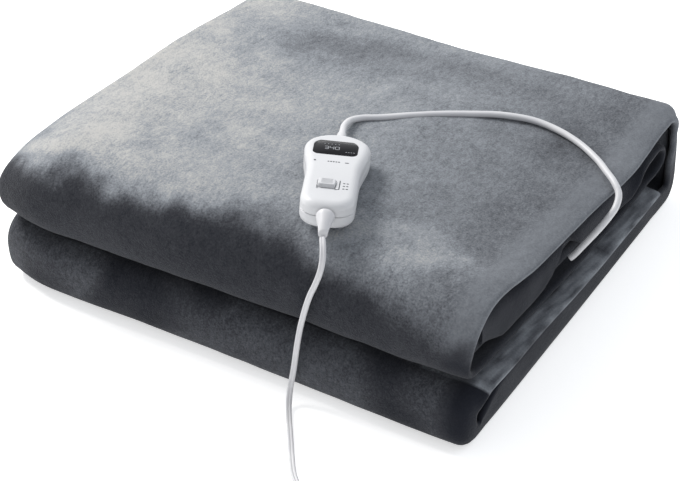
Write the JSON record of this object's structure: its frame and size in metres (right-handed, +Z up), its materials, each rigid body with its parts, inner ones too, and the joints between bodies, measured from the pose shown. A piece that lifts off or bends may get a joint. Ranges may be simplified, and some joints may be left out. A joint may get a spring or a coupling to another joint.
{
  "type": "electric heated blanket, folded, with a hand control, blanket lead and mains lead",
  "caption": "Grey flannel heated blanket folded into a thick square stack, with a white hand control lying on top, its lead going into the blanket and a mains lead hanging over the front",
  "frame": {"origin": "under the middle of the folded stack and its hand control, on the surface it lies on", "axes": "X along the front folds, +X to the hem side; Y from the front folds to the back; Z up"},
  "size_m": [0.4953, 0.6642, 0.1736],
  "materials": {
    "flannel": "short brushed pile, matte, with a soft sheen where the nap lies over",
    "housing": "moulded, semi-gloss",
    "window": "dark polished window",
    "lead_jacket": "soft satin jacket",
    "pins": "plated metal"
  },
  "bodies": {
    "stack": {"blanket": "flannel", "controller_top": "housing", "controller_base": "housing", "display_window": "window", "lead_gland": "lead_jacket", "mains_strain_relief": "lead_jacket", "blanket_lead": "lead_jacket", "mains_lead": "lead_jacket", "mains_coil": "lead_jacket", "mains_tail": "lead_jacket", "plug_body": "lead_jacket", "plug_pin_left": "pins", "plug_pin_right": "pins"},
    "slider": {"heat_slider": "housing"}
  },
  "joints": [
    {"name": "heat_slide", "type": "slide", "parent": "stack", "child": "slider", "axis": [-0.4257, 0.9012, -0.0816], "range_m": [-0.0042, 0]}
  ]
}
